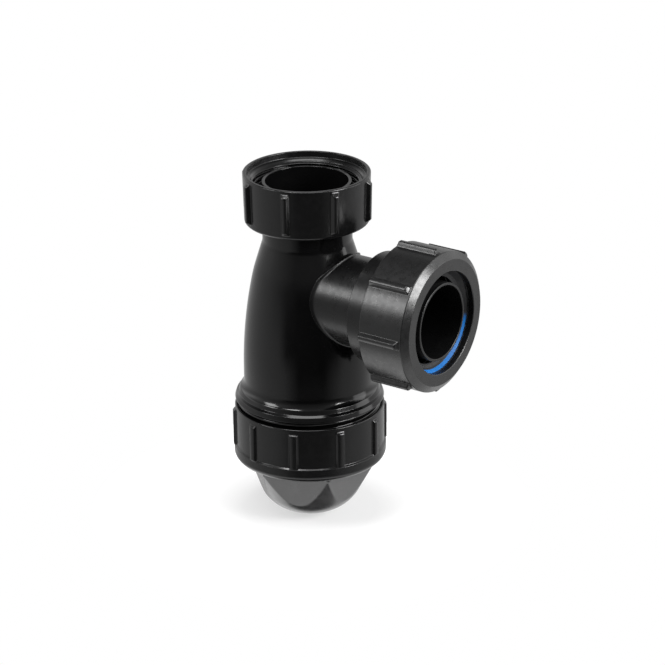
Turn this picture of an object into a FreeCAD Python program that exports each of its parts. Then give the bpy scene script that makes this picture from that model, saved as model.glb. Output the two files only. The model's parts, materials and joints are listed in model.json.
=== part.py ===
import FreeCAD, Part
import Sketcher
import math
import os

# A bottle trap for under a basin or sink, in millimetres, +Z up.
# The origin is the middle of the inlet's sealing face: the top of the rubber washer round the
# inlet tube. The tube stands above it, the outlet leaves along +X, and the cup hangs lowest.

# Driving sizes. Every one can be changed by itself.
SIZES = {
    # inlet tube with the washer's groove and the bead that holds the union nut
    "tube_radius": 19.85,
    "tube_wall": 1.55,
    "rim_height": 8.5,
    "rim_chamfer": 0.4,
    "groove_depth": 0.3,
    "washer_thick": 3.0,
    "bead_proud": 1.55,
    "bead_height": 3.0,
    "bead_chamfer": 0.8,
    # union nut at the inlet
    "inlet_thread_room": 4.35,
    "inlet_nut_height": 22.5,
    "inlet_nut_wall": 3.4,
    "inlet_nut_draft": 0.5,
    "inlet_lip_thick": 3.8,
    "inlet_nut_lead": 1.3,
    "inlet_nut_lead_wide": 2.1,
    "inlet_nut_edge": 0.5,
    "inlet_nut_foot_round": 1.2,
    "inlet_rib_count": 8,
    "inlet_rib_width": 2.8,
    "inlet_rib_proud": 1.8,
    "inlet_rib_top_gap": 1.2,
    "inlet_rib_foot_gap": 2.4,
    "inlet_rib_cap": 1.7,
    "inlet_rib_foot_slope": 0.5,
    "inlet_nut_turn": 16.1,
    # bell: a straight foot, a long arc, a short shoulder arc and a cone up to the neck
    "water_way": 9.45,
    "bell_wall": 2.4,
    "neck_drop": 17.98,
    "bell_arc": 213.0,
    "bell_arc_angle": 12.0,
    "shoulder_arc": 60.0,
    "shoulder_angle": 17.2,
    "neck_blend": 6.0,
    # flare, flange and threaded foot of the bell
    "flare_drop": 4.6,
    "flare_arc": 6.0,
    "flare_angle": 33.0,
    "flange_proud": 3.7,
    "flange_edge": 0.5,
    "flange_thick": 2.0,
    "base_thread_step": 2.2,
    "base_thread_depth": 1.4,
    "base_foot_length": 19.2,
    "base_foot_wall": 2.8,
    "base_foot_chamfer": 0.8,
    "base_bore_taper": 3.0,
    # dip tube
    "dip_floor_gap": 12.617,
    "dip_draft": 1.7,
    "dip_root": 3.8,
    # outlet stub, pipe socket and the inner tube that the pipe slides over
    "outlet_drop": 42.5,
    "stub_root_x": 11.0,
    "bore_root_x": 7.3,
    "outlet_bore_room": 5.2,
    "outlet_tube_wall": 1.2,
    "outlet_tube_proud": 6.8,
    "outlet_tube_chamfer": 0.3,
    "stub_wall": 3.6,
    "stub_length": 7.9,
    "socket_step": 0.7,
    "socket_floor_thick": 3.8,
    "pipe_radius": 21.5,
    "pipe_gap": 0.4,
    "socket_wall": 2.9,
    "socket_length": 26.8,
    "socket_mouth_chamfer": 0.8,
    "seal_seat": 3.7,
    "outlet_thread_length": 13.5,
    "outlet_thread_wall": 5.4,
    "outlet_thread_depth": 1.3,
    # compression nut, slip ring and seal at the outlet
    "outlet_nut_length": 23.7,
    "outlet_nut_wall": 2.4,
    "outlet_opening_room": 1.35,
    "outlet_lip_thick": 2.8,
    "outlet_nut_chamfer_deep": 2.3,
    "outlet_nut_chamfer_wide": 3.2,
    "outlet_nut_edge": 0.4,
    "outlet_rib_count": 8,
    "outlet_rib_width": 3.0,
    "outlet_rib_proud": 2.0,
    "outlet_rib_top_gap": 0.4,
    "outlet_rib_foot_gap": 3.4,
    "outlet_rib_cap": 0.8,
    "outlet_rib_end_slope": 0.2,
    "outlet_nut_turn": -1.5,
    "slip_ring_thick": 0.7,
    "slip_ring_room": 1.5,
    "seal_wall": 4.5,
    "seal_cone_squeeze": 0.4,
    "seal_cone_depth": 2.0,
    "seal_lip_squeeze": 2.2,
    "seal_lip_depth": 0.6,
    "seal_lip_length": 0.9,
    # ring nut under the bell
    "ring_flange_gap": 3.2,
    "ring_nut_wall": 1.1,
    "ring_lip_thick": 3.5,
    "ring_band_height": 6.3,
    "ring_band_proud": 0.7,
    "ring_foot_round": 3.0,
    "ring_top_round": 0.6,
    "ring_rib_count": 10,
    "ring_rib_width": 3.6,
    "ring_rib_proud": 1.1,
    "ring_rib_top_gap": 2.2,
    "ring_rib_foot_gap": 6.0,
    "ring_rib_cap": 0.5,
    "ring_nut_turn": 5.0,
    # cup and its seal
    "cup_ledge": 2.7,
    "cup_wall": 2.2,
    "cup_flange_thick": 3.0,
    "cup_skirt": 6.0,
    "cup_cone_angle": 28.3,
    "cup_cone_depth": 7.4,
    "cup_corner_arc": 19.6,
    "cup_crown_angle": 71.0,
    "flat_count": 6,
    "flat_depth": 8.7,
    "flat_level": 26.0,
    "flat_angle": 15.8,
    "flat_top_gap": 0.6,
    "cup_turn": -8.9,
    "base_seal_thick": 2.8,
    # clearances
    "seat_gap": 0.1,
    "slide_gap": 0.3,
    "thread_gap": 0.3,
    "washer_gap": 0.5,
    "grip_gap": 0.05,
    "seal_gap": 0.43,
}

# Sizes and places worked out from the driving ones. Names that end in _z are heights,
# names that end in _x lie along the outlet, and the rest are radii or lengths.
DERIVED = {
    # inlet tube
    "tube_bore": "tube_radius - tube_wall",
    "rim_inner": "tube_radius - rim_chamfer",
    "rim_foot_z": "rim_height - rim_chamfer",
    "groove_radius": "tube_radius - groove_depth",
    "bead_top_z": "-washer_thick",
    "bead_radius": "tube_radius + bead_proud",
    "bead_shoulder": "bead_radius - bead_chamfer",
    "bead_shoulder_z": "bead_top_z - bead_chamfer",
    "bead_foot_z": "bead_top_z - bead_height",
    # washer on the bead
    "washer_bore": "groove_radius + grip_gap",
    "washer_radius": "inlet_thread_radius - washer_gap",
    # union nut, measured up from its foot
    "inlet_thread_radius": "tube_radius + inlet_thread_room",
    "inlet_nut_place_z": "bead_foot_z - seat_gap - inlet_lip_thick",
    "inlet_lip_bore": "tube_radius + slide_gap",
    "inlet_step_bore": "bead_radius + slide_gap",
    "inlet_step_level": "inlet_lip_thick + bead_height",
    "inlet_lead_level": "inlet_nut_height - inlet_nut_lead",
    "inlet_lead_radius": "inlet_thread_radius + inlet_nut_lead_wide",
    "inlet_foot_radius": "inlet_thread_radius + inlet_nut_wall",
    "inlet_foot_inner": "inlet_foot_radius - inlet_nut_foot_round",
    "inlet_top_radius": "inlet_foot_radius + inlet_nut_draft",
    "inlet_top_inner": "inlet_top_radius - inlet_nut_edge",
    "inlet_edge_level": "inlet_nut_height - inlet_nut_edge",
    "inlet_rib_root": "inlet_foot_radius - inlet_nut_wall / 2",
    "inlet_rib_foot_radius": "inlet_foot_radius + inlet_rib_proud",
    "inlet_rib_top_radius": "inlet_top_radius + inlet_rib_proud",
    "inlet_rib_foot": "inlet_rib_foot_gap",
    "inlet_rib_foot_cap": "inlet_rib_foot + inlet_rib_foot_slope",
    "inlet_rib_top": "inlet_nut_height - inlet_rib_top_gap",
    "inlet_rib_top_cap": "inlet_rib_top - inlet_rib_cap",
    # bell, a chain of tangent arcs from the neck down to its foot, and the same less the wall
    "bell_radius": "tube_radius + water_way",
    "bell_mid": "bell_radius - bell_arc * (1 - cos(bell_arc_angle))",
    "shoulder": "bell_mid - shoulder_arc * (cos(bell_arc_angle) - cos(shoulder_angle))",
    "neck_end_z": "-neck_drop",
    "neck_reach": "neck_blend * tan(shoulder_angle / 2)",
    "neck_corner_z": "neck_end_z - neck_reach",
    "shoulder_z": "neck_corner_z - (shoulder - tube_radius) / tan(shoulder_angle)",
    "bell_mid_z": "shoulder_z - shoulder_arc * (sin(shoulder_angle) - sin(bell_arc_angle))",
    "bell_z": "bell_mid_z - bell_arc * sin(bell_arc_angle)",
    "neck_foot": "tube_radius + neck_reach * sin(shoulder_angle)",
    "neck_foot_z": "neck_corner_z - neck_reach * cos(shoulder_angle)",
    "bell_bore": "bell_radius - bell_wall",
    "bell_bore_arc": "bell_arc - bell_wall",
    "bell_mid_bore": "bell_mid - bell_wall * cos(bell_arc_angle)",
    "bell_mid_bore_z": "bell_mid_z - bell_wall * sin(bell_arc_angle)",
    "shoulder_bore_arc": "shoulder_arc - bell_wall",
    "shoulder_bore": "shoulder - bell_wall * cos(shoulder_angle)",
    "shoulder_bore_z": "shoulder_z - bell_wall * sin(shoulder_angle)",
    # flare, flange and foot of the bell
    "flare_top_z": "bell_z - flare_drop",
    "flare_mid": "bell_radius + flare_arc * (1 - cos(flare_angle))",
    "flare_mid_z": "flare_top_z - flare_arc * sin(flare_angle)",
    "flange_radius": "bell_radius + flange_proud",
    "flange_top": "flange_radius - flange_edge",
    "flange_top_z": "flare_mid_z - (flange_top - flare_mid) / tan(flare_angle)",
    "flange_edge_z": "flange_top_z - flange_edge",
    "flange_foot_z": "flange_edge_z - flange_thick",
    "base_thread_radius": "flange_radius - base_thread_step",
    "base_end_z": "flange_foot_z - base_foot_length",
    "base_end_chamfer_z": "base_end_z + base_foot_chamfer",
    "base_end_radius": "base_thread_radius - base_foot_chamfer",
    "base_bore": "base_thread_radius - base_foot_wall",
    "base_bore_z": "flange_foot_z - base_bore_taper",
    "base_bore_end_z": "flange_foot_z",
    # dip tube: the water seal is from its mouth up to the lowest point of the outlet's bore
    "outlet_z": "-outlet_drop",
    "dip_end_z": "cup_floor_z + dip_floor_gap",
    "water_seal": "outlet_z - outlet_bore - dip_end_z",
    "dip_slope": "dip_draft / (rim_height - dip_end_z)",
    "dip_top_bore": "tube_bore - dip_slope * (rim_height - shoulder_bore_z)",
    "dip_end_bore": "tube_bore - dip_draft",
    "dip_start_z": "shoulder_bore_z + dip_root",
    "dip_start_bore": "tube_bore - dip_slope * (rim_height - dip_start_z)",
    "dip_start_radius": "dip_start_bore + tube_wall",
    "dip_end_radius": "dip_end_bore + tube_wall",
    # outlet stub and socket, sized from the pipe
    "outlet_bore": "pipe_radius - outlet_bore_room",
    "stub_radius": "outlet_bore + stub_wall",
    "socket_start": "bell_radius + stub_length",
    "socket_mouth": "socket_start + socket_length",
    "outlet_tube_end": "socket_mouth + outlet_tube_proud",
    "outlet_tube_radius": "outlet_bore + outlet_tube_wall",
    "outlet_tube_chamfer_x": "outlet_tube_end - outlet_tube_chamfer",
    "outlet_tube_tip": "outlet_tube_radius - outlet_tube_chamfer",
    "socket_bore": "pipe_radius + pipe_gap",
    "socket_radius": "socket_bore + socket_wall",
    "outlet_thread_radius": "socket_bore + outlet_thread_wall",
    "outlet_thread_start": "socket_mouth - outlet_thread_length",
    "socket_full_x": "socket_start + socket_step",
    "socket_floor_x": "socket_start + socket_floor_thick",
    "seat_start_x": "socket_mouth - seal_seat",
    "seat_radius": "socket_bore + seal_seat",
    "outlet_thread_foot_x": "outlet_thread_start + outlet_thread_radius - socket_radius",
    "outlet_mouth_chamfer_x": "socket_mouth - socket_mouth_chamfer",
    "outlet_mouth_radius": "outlet_thread_radius - socket_mouth_chamfer",
    # outlet seal: a wedge in the mouth of the socket, with a cone and a thin lip inside
    "slip_ring_bore": "pipe_radius + slip_ring_room",
    "seal_cone_radius": "pipe_radius - seal_cone_squeeze",
    "seal_lip_radius": "pipe_radius - seal_lip_squeeze",
    "seal_back_x": "seat_start_x + seal_gap",
    "seal_outer": "seat_radius + grip_gap",
    "seal_shoulder_x": "seal_back_x + seal_outer - socket_bore",
    "seal_front_x": "seal_shoulder_x + seal_wall - seal_gap / 2",
    "seal_cone_x": "seal_front_x - seal_cone_depth",
    "seal_lip_x": "seal_cone_x - seal_lip_depth",
    "seal_lip_back_x": "seal_lip_x - seal_lip_length",
    "seal_lip_front": "slip_ring_bore - grip_gap",
    # slip ring and compression nut, measured back from the nut's front face
    "slip_ring_back_x": "seal_front_x + grip_gap",
    "slip_ring_front_x": "slip_ring_back_x + slip_ring_thick",
    "slip_ring_radius": "outlet_nut_bore - washer_gap",
    "outlet_nut_bore": "outlet_thread_radius + outlet_thread_depth + thread_gap",
    "outlet_nut_radius": "outlet_nut_bore + outlet_nut_wall",
    "outlet_nut_front_x": "slip_ring_front_x + seat_gap + outlet_lip_thick",
    "outlet_opening": "pipe_radius + outlet_opening_room",
    "outlet_face_radius": "outlet_nut_radius - outlet_nut_chamfer_wide",
    "outlet_opening_edge": "outlet_opening + outlet_nut_edge",
    "outlet_back_bore": "outlet_nut_bore + outlet_nut_edge",
    "outlet_back_edge": "outlet_nut_length - outlet_nut_edge",
    "outlet_back_radius": "outlet_nut_radius - outlet_nut_edge",
    "outlet_rib_root": "outlet_nut_radius - outlet_nut_wall / 2",
    "outlet_rib_foot_radius": "outlet_nut_radius + outlet_rib_proud",
    "outlet_rib_top_radius": "outlet_rib_foot_radius",
    "outlet_rib_foot": "outlet_rib_foot_gap",
    "outlet_rib_foot_cap": "outlet_rib_foot + outlet_rib_cap",
    "outlet_rib_top": "outlet_nut_length - outlet_rib_top_gap",
    "outlet_rib_top_cap": "outlet_rib_top - outlet_rib_end_slope",
    # cup and its seal, stacked down from the bell's foot
    "base_seal_top_z": "base_end_z - seat_gap",
    "cup_top_z": "base_seal_top_z - base_seal_thick",
    "cup_flange_z": "cup_top_z - cup_flange_thick",
    "cup_radius": "ring_bore - cup_ledge",
    "cup_cone_end_radius": "cup_radius - cup_cone_depth",
    "flat_distance": "cup_radius - flat_depth",
    "cup_flange_radius": "ring_bore - washer_gap",
    "base_seal_radius": "cup_flange_radius - slide_gap",
    "base_seal_bore": "base_bore + slide_gap",
    "cup_bore": "cup_radius - cup_wall",
    "cup_cone_z": "cup_flange_z - cup_skirt",
    "cup_cone_end_z": "cup_cone_z - (cup_radius - cup_cone_end_radius) / tan(cup_cone_angle)",
    "cup_crown": "cup_cone_end_radius - cup_corner_arc * (cos(cup_cone_angle) - cos(cup_crown_angle))",
    "cup_crown_z": "cup_cone_end_z - cup_corner_arc * (sin(cup_crown_angle) - sin(cup_cone_angle))",
    "cup_crown_arc": "cup_crown / cos(cup_crown_angle)",
    "cup_bottom_z": "cup_crown_z - cup_crown_arc * (1 - sin(cup_crown_angle))",
    "cup_inner_cone_z": "cup_cone_z + cup_wall * tan(cup_cone_angle / 2)",
    "cup_inner_end": "cup_cone_end_radius - cup_wall * cos(cup_cone_angle)",
    "cup_inner_end_z": "cup_cone_end_z + cup_wall * sin(cup_cone_angle)",
    "cup_inner_arc": "cup_corner_arc - cup_wall",
    "cup_inner_crown": "cup_crown - cup_wall * cos(cup_crown_angle)",
    "cup_inner_crown_z": "cup_crown_z + cup_wall * sin(cup_crown_angle)",
    "cup_inner_crown_arc": "cup_crown_arc - cup_wall",
    "cup_floor_z": "cup_bottom_z + cup_wall",
    # six flats, each a plane that leans out as it rises
    "flat_top_z": "ring_foot_z - flat_top_gap",
    "flat_middle_z": "cup_top_z - flat_level",
    "flat_top": "flat_distance + (flat_top_z - flat_middle_z) * tan(flat_angle)",
    "flat_foot_z": "cup_bottom_z - flat_top_gap",
    "flat_foot": "flat_distance + (flat_foot_z - flat_middle_z) * tan(flat_angle)",
    "flat_outside": "cup_radius + cup_wall",
    "flat_width": "2 * flat_outside",
    "core_flat_step": "cup_wall / cos(flat_angle)",
    "core_flat_top": "flat_top + cup_wall * tan(flat_angle) - core_flat_step",
    "core_flat_top_z": "flat_top_z + cup_wall",
    "core_flat_foot": "flat_foot - core_flat_step",
    # ring nut, measured up from its foot
    "ring_foot_z": "cup_flange_z - seat_gap - ring_lip_thick",
    "ring_nut_height": "flange_foot_z - ring_flange_gap - ring_foot_z",
    "ring_bore": "base_thread_radius + base_thread_depth + thread_gap",
    "ring_lip_bore": "cup_radius + slide_gap",
    "ring_wall_radius": "ring_bore + ring_nut_wall",
    "ring_band_radius": "ring_wall_radius + ring_band_proud",
    "ring_foot_inner": "ring_band_radius - ring_foot_round",
    "ring_band_shoulder": "ring_band_height + ring_band_proud",
    "ring_top_inner": "ring_wall_radius - ring_top_round",
    "ring_top_level": "ring_nut_height - ring_top_round",
    "ring_rib_root": "ring_wall_radius - ring_nut_wall / 2",
    "ring_rib_foot_radius": "ring_wall_radius + ring_rib_proud",
    "ring_rib_top_radius": "ring_rib_foot_radius",
    "ring_rib_foot": "ring_rib_foot_gap",
    "ring_rib_foot_cap": "ring_rib_foot + ring_rib_cap",
    "ring_rib_top": "ring_nut_height - ring_rib_top_gap",
    "ring_rib_top_cap": "ring_rib_top - ring_rib_cap",
}

AXIS = "on the axis"

doc = FreeCAD.newDocument("bottle_trap")
sheet = doc.addObject("Spreadsheet::Sheet", "sizes")


def fill_sheet():
    rows = [(name, str(size)) for name, size in SIZES.items()]
    rows += [(name, "=" + formula) for name, formula in DERIVED.items()]
    for row, (name, content) in enumerate(rows, start=1):
        sheet.set(f"A{row}", name)
        sheet.setAlias(f"B{row}", name)
    for row, (name, content) in enumerate(rows, start=1):
        sheet.set(f"B{row}", content)
    doc.recompute()


def size(name):
    return 0.0 if name == AXIS else float(sheet.get(name))


def origin_feature(body, role):
    return next(item for item in body.Origin.OriginFeatures if item.Role == role)


def arc_between(start, end, radius, side):
    # the shorter arc, with its centre to the left or the right of the way from start to end
    chord = end - start
    half = chord.Length / 2
    left = FreeCAD.Vector(-chord.y, chord.x, 0).normalize()
    reach = math.sqrt(max(radius**2 - half**2, 0.0))
    centre = (start + end) / 2 + left * (reach if side == "left" else -reach)
    first, last = (start, end) if side == "left" else (end, start)
    angles = [math.atan2(p.y - centre.y, p.x - centre.x) for p in (first, last)]
    circle = Part.Circle(centre, FreeCAD.Vector(0, 0, 1), radius)
    return Part.ArcOfCircle(circle, angles[0], angles[1])


def closed_sketch(body, name, corners, on_outlet=False):
    # Each corner is (x, y), or (x, y, radius, side) where the edge that leaves it is an arc.
    # All four are names of sizes. The sketch lies in the XZ plane.
    sketch = body.newObject("Sketcher::SketchObject", name)
    sketch.AttachmentSupport = [(origin_feature(body, "XZ_Plane"), "")]
    sketch.MapMode = "FlatFace"
    if on_outlet:
        sketch.setExpression("AttachmentOffset.Base.y", "sizes.outlet_z")
    points = [FreeCAD.Vector(size(c[0]), size(c[1]), 0) for c in corners]
    edges = []
    ends = []
    for here, corner in enumerate(corners):
        start = points[here]
        end = points[(here + 1) % len(points)]
        if len(corner) == 2:
            edges.append(Part.LineSegment(start, end))
            ends.append((1, 2))
        else:
            edges.append(arc_between(start, end, size(corner[2]), corner[3]))
            ends.append((1, 2) if corner[3] == "left" else (2, 1))
    sketch.addGeometry(edges, False)
    rules = []
    bound = []
    for here, corner in enumerate(corners):
        after = (here + 1) % len(corners)
        rules.append(Sketcher.Constraint("Coincident", here, ends[here][1], after, ends[after][0]))
        for kind, along, axis in (("DistanceX", 0, -2), ("DistanceY", 1, -1)):
            if corner[along] == AXIS:
                rules.append(Sketcher.Constraint("PointOnObject", here, ends[here][0], axis))
            else:
                bound.append((len(rules), corner[along]))
                place = size(corner[along])
                rules.append(Sketcher.Constraint(kind, -1, 1, here, ends[here][0], place))
        if len(corner) > 2:
            bound.append((len(rules), corner[2]))
            rules.append(Sketcher.Constraint("Radius", here, size(corner[2])))
    sketch.addConstraint(rules)
    for index, alias in bound:
        sketch.setExpression(f"Constraints[{index}]", f"sizes.{alias}")
    return sketch


def turned(body, kind, name, corners, on_outlet=False):
    # a Revolution or a Groove, all the way round the body's upright axis or the outlet's axis
    sketch = closed_sketch(body, name + "_section", corners, on_outlet)
    feature = body.newObject("PartDesign::" + kind, name)
    feature.Profile = sketch
    feature.ReferenceAxis = (sketch, ["H_Axis" if on_outlet else "V_Axis"])
    feature.Angle = 360
    body.Tip = feature
    return feature


def across(body, kind, name, corners, width):
    # a Pad or a Pocket, evenly to both sides of the XZ plane
    sketch = closed_sketch(body, name + "_outline", corners)
    feature = body.newObject("PartDesign::" + kind, name)
    feature.Profile = sketch
    feature.SideType = "Symmetric"
    feature.setExpression("Length", f"sizes.{width}")
    body.Tip = feature
    return feature


def repeated(body, feature, name, count):
    ring = body.newObject("PartDesign::PolarPattern", name)
    ring.Originals = [feature]
    ring.Axis = (origin_feature(body, "Z_Axis"), [""])
    ring.Angle = 360
    ring.setExpression("Occurrences", f"sizes.{count}")
    body.Tip = ring
    return ring


def new_body(label):
    body = doc.addObject("PartDesign::Body", label)
    body.Label = label
    return body


def add_ribs(body, nut):
    # grip ribs with sloping ends, spaced evenly round the nut
    rib = across(
        body,
        "Pad",
        nut + "_rib",
        [
            (f"{nut}_rib_root", f"{nut}_rib_foot"),
            (f"{nut}_rib_foot_radius", f"{nut}_rib_foot_cap"),
            (f"{nut}_rib_top_radius", f"{nut}_rib_top_cap"),
            (f"{nut}_rib_root", f"{nut}_rib_top"),
        ],
        f"{nut}_rib_width",
    )
    repeated(body, rib, nut + "_ribs", f"{nut}_rib_count")


def make_trap_body():
    body = new_body("trap_body")
    outside = [
        (AXIS, "rim_height"),
        ("rim_inner", "rim_height"),
        ("tube_radius", "rim_foot_z"),
        ("tube_radius", AXIS),
        ("groove_radius", AXIS),
        ("groove_radius", "bead_top_z"),
        ("bead_shoulder", "bead_top_z"),
        ("bead_radius", "bead_shoulder_z"),
        ("bead_radius", "bead_foot_z"),
        ("tube_radius", "bead_foot_z"),
        ("tube_radius", "neck_end_z", "neck_blend", "left"),
        ("neck_foot", "neck_foot_z"),
        ("shoulder", "shoulder_z", "shoulder_arc", "right"),
        ("bell_mid", "bell_mid_z", "bell_arc", "right"),
        ("bell_radius", "bell_z"),
        ("bell_radius", "flare_top_z", "flare_arc", "left"),
        ("flare_mid", "flare_mid_z"),
        ("flange_top", "flange_top_z", "flange_edge", "right"),
        ("flange_radius", "flange_edge_z"),
        ("flange_radius", "flange_foot_z"),
        ("base_thread_radius", "flange_foot_z"),
        ("base_thread_radius", "base_end_chamfer_z"),
        ("base_end_radius", "base_end_z"),
        (AXIS, "base_end_z"),
    ]
    turned(body, "Revolution", "bell", outside)
    stub = [
        ("stub_root_x", AXIS),
        ("stub_root_x", "stub_radius"),
        ("socket_start", "stub_radius"),
        ("socket_full_x", "socket_radius"),
        ("outlet_thread_start", "socket_radius"),
        ("outlet_thread_foot_x", "outlet_thread_radius"),
        ("outlet_mouth_chamfer_x", "outlet_thread_radius"),
        ("socket_mouth", "outlet_mouth_radius"),
        ("socket_mouth", "outlet_tube_radius"),
        ("outlet_tube_chamfer_x", "outlet_tube_radius"),
        ("outlet_tube_end", "outlet_tube_tip"),
        ("outlet_tube_end", AXIS),
    ]
    turned(body, "Revolution", "outlet_stub", stub, on_outlet=True)
    hollow = [
        (AXIS, "rim_height"),
        ("tube_bore", "rim_height"),
        ("dip_top_bore", "shoulder_bore_z"),
        ("shoulder_bore", "shoulder_bore_z", "shoulder_bore_arc", "right"),
        ("bell_mid_bore", "bell_mid_bore_z", "bell_bore_arc", "right"),
        ("bell_bore", "bell_z"),
        ("bell_bore", "base_bore_end_z"),
        ("base_bore", "base_bore_z"),
        ("base_bore", "base_end_z"),
        (AXIS, "base_end_z"),
    ]
    turned(body, "Groove", "hollow", hollow)
    bore = [
        ("bore_root_x", AXIS),
        ("bore_root_x", "outlet_bore"),
        ("outlet_tube_end", "outlet_bore"),
        ("outlet_tube_end", AXIS),
    ]
    turned(body, "Groove", "outlet_way", bore, on_outlet=True)
    socket = [
        ("socket_floor_x", "outlet_tube_radius"),
        ("socket_floor_x", "socket_bore"),
        ("seat_start_x", "socket_bore"),
        ("socket_mouth", "seat_radius"),
        ("socket_mouth", "outlet_tube_radius"),
    ]
    turned(body, "Groove", "pipe_socket", socket, on_outlet=True)
    dip_tube = [
        ("dip_start_bore", "dip_start_z"),
        ("dip_start_radius", "dip_start_z"),
        ("dip_end_radius", "dip_end_z"),
        ("dip_end_bore", "dip_end_z"),
    ]
    turned(body, "Revolution", "dip_tube", dip_tube)
    return body


def make_inlet_washer():
    body = new_body("inlet_washer")
    section = [
        ("washer_bore", AXIS),
        ("washer_radius", AXIS),
        ("washer_radius", "bead_top_z"),
        ("washer_bore", "bead_top_z"),
    ]
    turned(body, "Revolution", "washer_ring", section)
    return body


def make_inlet_nut():
    body = new_body("inlet_nut")
    section = [
        ("inlet_lip_bore", AXIS),
        ("inlet_foot_inner", AXIS, "inlet_nut_foot_round", "left"),
        ("inlet_foot_radius", "inlet_nut_foot_round"),
        ("inlet_top_radius", "inlet_edge_level", "inlet_nut_edge", "left"),
        ("inlet_top_inner", "inlet_nut_height"),
        ("inlet_lead_radius", "inlet_nut_height"),
        ("inlet_thread_radius", "inlet_lead_level"),
        ("inlet_thread_radius", "inlet_step_level"),
        ("inlet_step_bore", "inlet_step_level"),
        ("inlet_step_bore", "inlet_lip_thick"),
        ("inlet_lip_bore", "inlet_lip_thick"),
    ]
    turned(body, "Revolution", "inlet_nut_wall_ring", section)
    add_ribs(body, "inlet")
    body.Placement = FreeCAD.Placement(
        FreeCAD.Vector(0, 0, size("inlet_nut_place_z")),
        FreeCAD.Rotation(FreeCAD.Vector(0, 0, 1), size("inlet_nut_turn")),
    )
    body.setExpression("Placement.Base.z", "sizes.inlet_nut_place_z")
    return body


def make_outlet_nut():
    # modelled upright on its front face, then laid along the outlet with that face outwards
    body = new_body("outlet_nut")
    section = [
        ("outlet_opening_edge", AXIS),
        ("outlet_face_radius", AXIS),
        ("outlet_nut_radius", "outlet_nut_chamfer_deep"),
        ("outlet_nut_radius", "outlet_back_edge"),
        ("outlet_back_radius", "outlet_nut_length"),
        ("outlet_back_bore", "outlet_nut_length"),
        ("outlet_nut_bore", "outlet_back_edge"),
        ("outlet_nut_bore", "outlet_lip_thick"),
        ("outlet_opening", "outlet_lip_thick"),
        ("outlet_opening", "outlet_nut_edge"),
    ]
    turned(body, "Revolution", "outlet_nut_wall_ring", section)
    add_ribs(body, "outlet")
    lie_down = FreeCAD.Rotation(FreeCAD.Vector(0, 1, 0), -90)
    turn = FreeCAD.Rotation(FreeCAD.Vector(0, 0, 1), size("outlet_nut_turn"))
    body.Placement = FreeCAD.Placement(
        FreeCAD.Vector(size("outlet_nut_front_x"), 0, size("outlet_z")),
        lie_down.multiply(turn),
    )
    body.setExpression("Placement.Base.x", "sizes.outlet_nut_front_x")
    body.setExpression("Placement.Base.z", "sizes.outlet_z")
    return body


def make_outlet_slip_ring():
    body = new_body("outlet_slip_ring")
    section = [
        ("slip_ring_back_x", "slip_ring_bore"),
        ("slip_ring_back_x", "slip_ring_radius"),
        ("slip_ring_front_x", "slip_ring_radius"),
        ("slip_ring_front_x", "slip_ring_bore"),
    ]
    turned(body, "Revolution", "slip_ring", section, on_outlet=True)
    return body


def make_outlet_seal():
    body = new_body("outlet_seal")
    section = [
        ("seal_back_x", "socket_bore"),
        ("seal_shoulder_x", "seal_outer"),
        ("seal_front_x", "seal_outer"),
        ("seal_front_x", "seal_lip_front"),
        ("seal_cone_x", "seal_cone_radius"),
        ("seal_lip_x", "seal_lip_radius"),
        ("seal_lip_back_x", "seal_lip_radius"),
    ]
    turned(body, "Revolution", "seal_ring", section, on_outlet=True)
    return body


def make_ring_nut():
    body = new_body("ring_nut")
    section = [
        ("ring_lip_bore", AXIS),
        ("ring_foot_inner", AXIS, "ring_foot_round", "left"),
        ("ring_band_radius", "ring_foot_round"),
        ("ring_band_radius", "ring_band_height"),
        ("ring_wall_radius", "ring_band_shoulder"),
        ("ring_wall_radius", "ring_top_level", "ring_top_round", "left"),
        ("ring_top_inner", "ring_nut_height"),
        ("ring_bore", "ring_nut_height"),
        ("ring_bore", "ring_lip_thick"),
        ("ring_lip_bore", "ring_lip_thick"),
    ]
    turned(body, "Revolution", "ring_nut_wall_ring", section)
    add_ribs(body, "ring")
    body.Placement = FreeCAD.Placement(
        FreeCAD.Vector(0, 0, size("ring_foot_z")),
        FreeCAD.Rotation(FreeCAD.Vector(0, 0, 1), size("ring_nut_turn")),
    )
    body.setExpression("Placement.Base.z", "sizes.ring_foot_z")
    return body


def add_flats(body, name, corners):
    # six flats, evenly spaced round the cup
    one_flat = across(body, "Pocket", name, corners, "flat_width")
    repeated(body, one_flat, name + "s", "flat_count")


def make_cup_core():
    # the space inside the cup: a turned form with flats behind those of the outside
    body = new_body("cup_core")
    inside = [
        (AXIS, "cup_top_z"),
        ("cup_bore", "cup_top_z"),
        ("cup_bore", "cup_inner_cone_z"),
        ("cup_inner_end", "cup_inner_end_z", "cup_inner_arc", "right"),
        ("cup_inner_crown", "cup_inner_crown_z", "cup_inner_crown_arc", "right"),
        (AXIS, "cup_floor_z"),
    ]
    turned(body, "Revolution", "core_form", inside)
    flat = [
        ("core_flat_top", "core_flat_top_z"),
        ("flat_outside", "core_flat_top_z"),
        ("flat_outside", "flat_foot_z"),
        ("core_flat_foot", "flat_foot_z"),
    ]
    add_flats(body, "core_flat", flat)
    return body


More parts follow.
